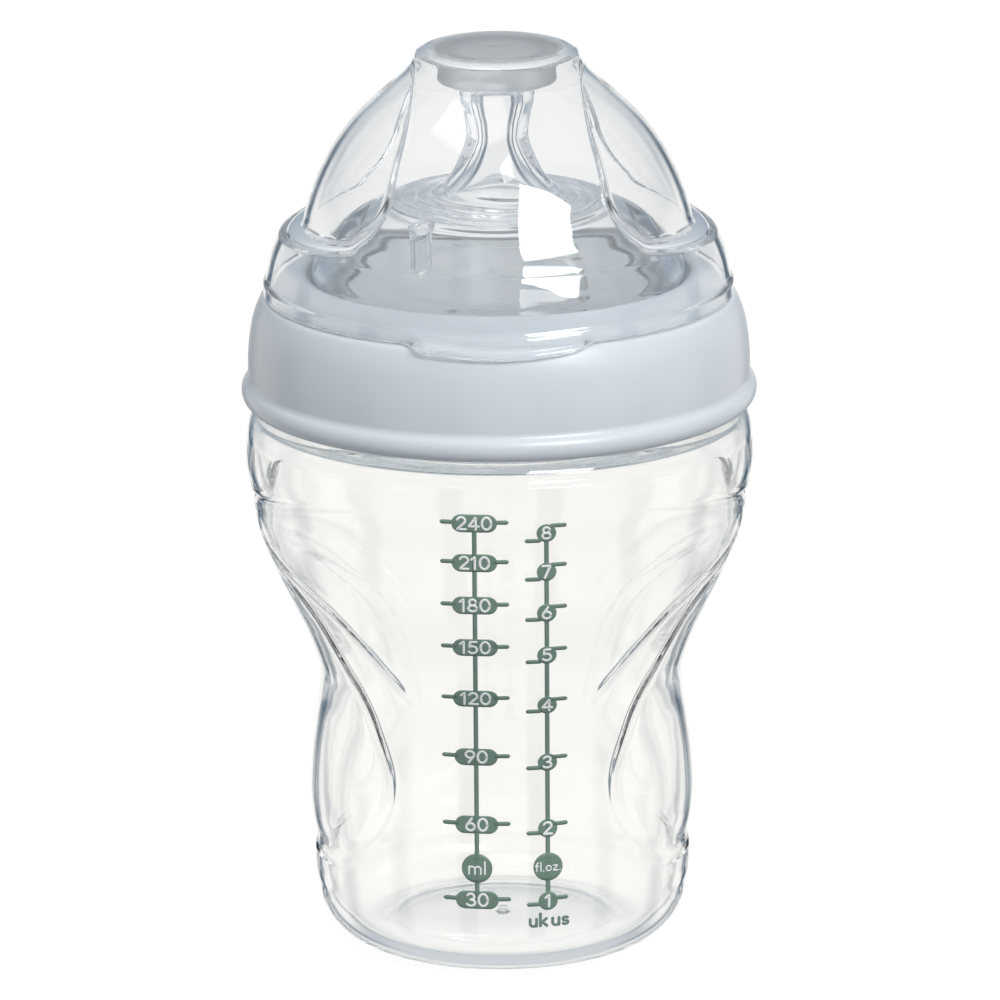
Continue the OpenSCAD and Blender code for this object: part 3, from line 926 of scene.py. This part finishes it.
def sky_math(operation, a, b=0.0, c=0.0):
    """A Math node of the room's light, fed with sockets or plain numbers."""
    node = sky.nodes.new("ShaderNodeMath")
    node.operation = operation
    for socket, value in zip(node.inputs, (a, b, c)):
        if isinstance(value, (int, float)):
            socket.default_value = value
        else:
            sky.links.new(value, socket)
    return node.outputs[0]


def sky_step(value, low, high):
    """0 below low, 1 above high, smooth between; the ends may be swapped to fall instead."""
    node = sky.nodes.new("ShaderNodeMapRange")
    node.interpolation_type = "SMOOTHSTEP"
    sky.links.new(value, node.inputs["Value"])
    node.inputs["From Min"].default_value = low
    node.inputs["From Max"].default_value = high
    return node.outputs["Result"]


def sky_mix(share, first, second):
    """A blend of two colours, each a socket or a triple."""
    node = sky.nodes.new("ShaderNodeMix")
    node.data_type = "RGBA"
    sky.links.new(share, node.inputs[0])
    for socket, value in ((node.inputs[6], first), (node.inputs[7], second)):
        if isinstance(value, tuple):
            socket.default_value = (*value, 1)
        else:
            sky.links.new(value, socket)
    return node.outputs[2]


split = sky.nodes.new("ShaderNodeSeparateXYZ")
sky.links.new(sky.nodes.new("ShaderNodeTexCoord").outputs["Generated"], split.inputs[0])
bearing = sky_math("ARCTAN2", split.outputs["Y"], split.outputs["X"])
screens = sky_step(sky_math("COSINE", sky_math("MULTIPLY", bearing, 8.0)), -0.96, -0.5)
height = split.outputs["Z"]
low_band = sky_math("MULTIPLY", sky_step(height, 0.12, -0.04), sky_step(height, -0.75, -0.5))
steep = sky_step(height, -0.55, -0.8)
gap_tone, screen_tone, under_tone = (0.08, 0.13, 0.18), (1.01, 1.0, 0.98), (0.62, 0.66, 0.7)
above = sky_mix(sky_step(height, 0.0, 0.7), (0.3, 0.37, 0.44), (0.95, 0.98, 1.0))
on_screen = sky_math("MULTIPLY", screens, low_band)
in_gap = sky_math("MULTIPLY", sky_math("SUBTRACT", 1.0, screens), low_band)
light_field = sky_mix(on_screen, sky_mix(steep, above, under_tone), screen_tone)
light_field = sky_mix(in_gap, light_field, gap_tone)
soft_light = sky_mix(sky_step(height, -0.6, 0.7), (0.29, 0.31, 0.335), (0.7, 0.72, 0.74))
inner_light = sky_mix(sky_step(height, -0.6, 0.5), (1.15, 1.18, 1.22), (1.55, 1.6, 1.65))
ray = sky.nodes.new("ShaderNodeLightPath")
crossed = sky_math("MULTIPLY", sky_math("GREATER_THAN", ray.outputs["Diffuse Depth"], 0.5),
                   ray.outputs["Is Transmission Ray"])
seen = sky_mix(crossed, sky_mix(ray.outputs["Is Diffuse Ray"], light_field, soft_light), inner_light)
seen = sky_mix(ray.outputs["Is Camera Ray"], seen, (1.0, 1.0, 1.0))
sky.links.new(seen, backdrop.inputs["Color"])
backdrop.inputs["Strength"].default_value = 1.0


def soft_box(name, way, distance, width, height, radiance, spin=0.0):
    """A rectangular light in a direction from the bottle: its power is its brightness times pi and area."""
    light = bpy.data.lights.new(name, "AREA")
    light.shape = "RECTANGLE"
    light.size = width
    light.size_y = height
    light.energy = radiance * math.pi * width * height
    holder = bpy.data.objects.new(name, light)
    bpy.context.collection.objects.link(holder)
    place = target + Vector(way).normalized() * distance
    aim = (target - place).to_track_quat("-Z", "Y").to_matrix().to_4x4()
    holder.matrix_world = Matrix.Translation(place) @ aim @ Matrix.Rotation(math.radians(spin), 4, "Z")
    return holder


soft_box("key", (0.42, -0.69, 0.64), 1.2, 0.56, 0.3, 15.0, spin=-25)
soft_box("overhead", (-0.2, -0.1, 1.0), 1.2, 0.6, 0.6, 1.3)

lens_distance, elevation, roll = 1.4, 15.5, 0.42
camera_data = bpy.data.cameras.new("camera")
camera_data.lens = 311
camera = bpy.data.objects.new("camera", camera_data)
bpy.context.collection.objects.link(camera)
rise = math.radians(elevation)
back = Vector((0, -math.cos(rise), math.sin(rise)))
camera.matrix_world = (Matrix.Translation(target + back * lens_distance)
                       @ (-back).to_track_quat("-Z", "Y").to_matrix().to_4x4()
                       @ Matrix.Rotation(math.radians(-roll), 4, "Z"))
bpy.context.scene.camera = camera
bpy.context.scene.view_settings.view_transform = "Standard"

# Light has to cross many clear walls to reach the inside of the collar
light_paths = bpy.context.scene.cycles
light_paths.max_bounces = 48
light_paths.glossy_bounces = 32
light_paths.transmission_bounces = 48
light_paths.diffuse_bounces = 6
